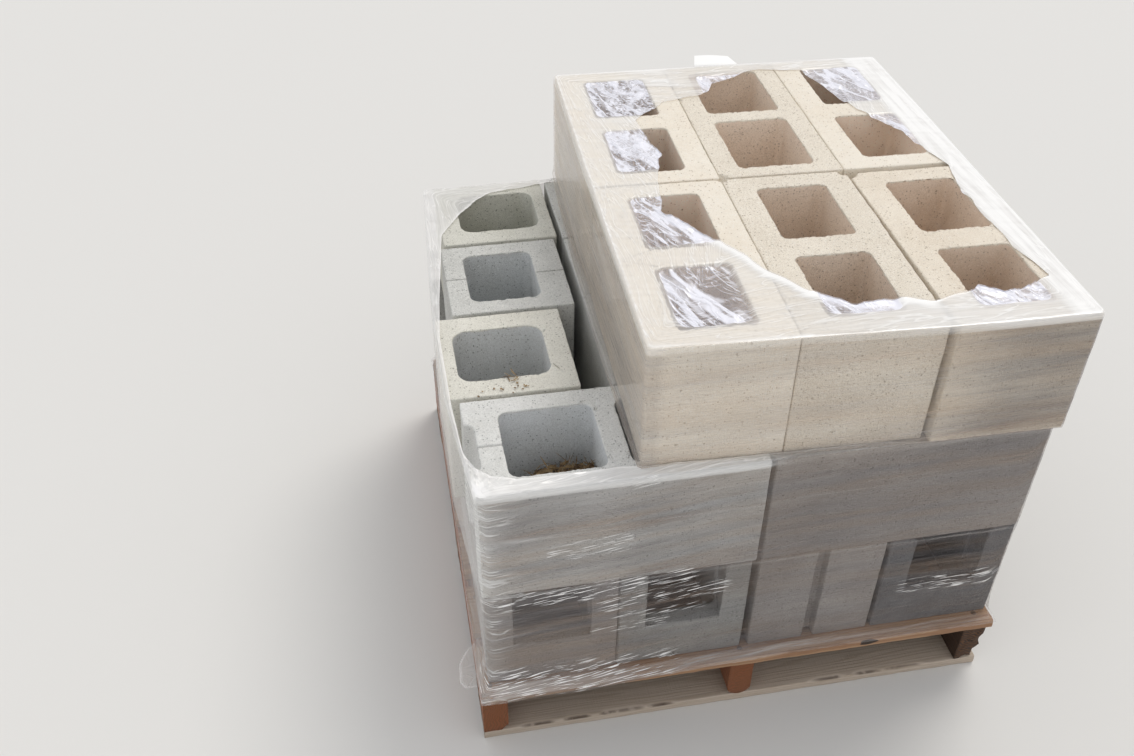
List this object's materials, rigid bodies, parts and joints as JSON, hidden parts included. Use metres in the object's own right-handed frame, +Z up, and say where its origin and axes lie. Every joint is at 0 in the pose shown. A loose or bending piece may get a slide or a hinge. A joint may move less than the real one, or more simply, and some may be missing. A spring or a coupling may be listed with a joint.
{
  "type": "pallet of concrete blocks",
  "caption": "Wooden pallet loaded with grey hollow concrete blocks and a turned stack of buff blocks, held by clear stretch film.",
  "frame": {"origin": "on the floor, at the middle of the pallet's stringers, under the middle bottom board", "axes": "+X to the right and +Y to the back of the load, seen from the front of the pallet, where the stringers' ends show; +Z up"},
  "size_m": [0.8538, 0.8506, 0.706],
  "materials": {
    "pallet_wood": "rough sawn softwood",
    "grey_concrete": "open sandy texture, dry",
    "buff_concrete": "open sandy texture, dry",
    "stretch_film": "clear, glossy, wrinkled"
  },
  "bodies": {
    "root": {"stringer_left": "pallet_wood", "stringer_middle": "pallet_wood", "stringer_right": "pallet_wood", "bottom_board_front": "pallet_wood", "bottom_board_middle": "pallet_wood", "bottom_board_back": "pallet_wood", "deck_board_1": "pallet_wood", "deck_board_2": "pallet_wood", "deck_board_3": "pallet_wood", "deck_board_4": "pallet_wood", "deck_board_5": "pallet_wood", "deck_board_6": "pallet_wood", "deck_board_7": "pallet_wood", "bond_beam_left": "grey_concrete", "bond_beam_middle": "grey_concrete", "sash_block": "grey_concrete", "bond_beam_right": "grey_concrete", "bottom_back_block_1": "grey_concrete", "bottom_back_block_2": "grey_concrete", "bottom_back_block_3": "grey_concrete", "bottom_back_block_4": "grey_concrete", "stretcher_front_left": "grey_concrete", "stretcher_front_right": "grey_concrete", "half_block_front": "grey_concrete", "half_block_middle": "grey_concrete", "half_block_back": "grey_concrete", "hidden_block_1": "grey_concrete", "hidden_half_1": "grey_concrete", "hidden_block_2": "grey_concrete", "hidden_half_2": "grey_concrete", "hidden_block_3": "grey_concrete", "hidden_half_3": "grey_concrete", "buff_block_front_left": "buff_concrete", "buff_block_front_middle": "buff_concrete", "buff_block_front_right": "buff_concrete", "buff_block_back_left": "buff_concrete", "buff_block_back_middle": "buff_concrete", "buff_block_back_right": "buff_concrete", "stretch_wrap_lower": "stretch_film", "stretch_wrap_upper": "stretch_film"}
  },
  "joints": []
}
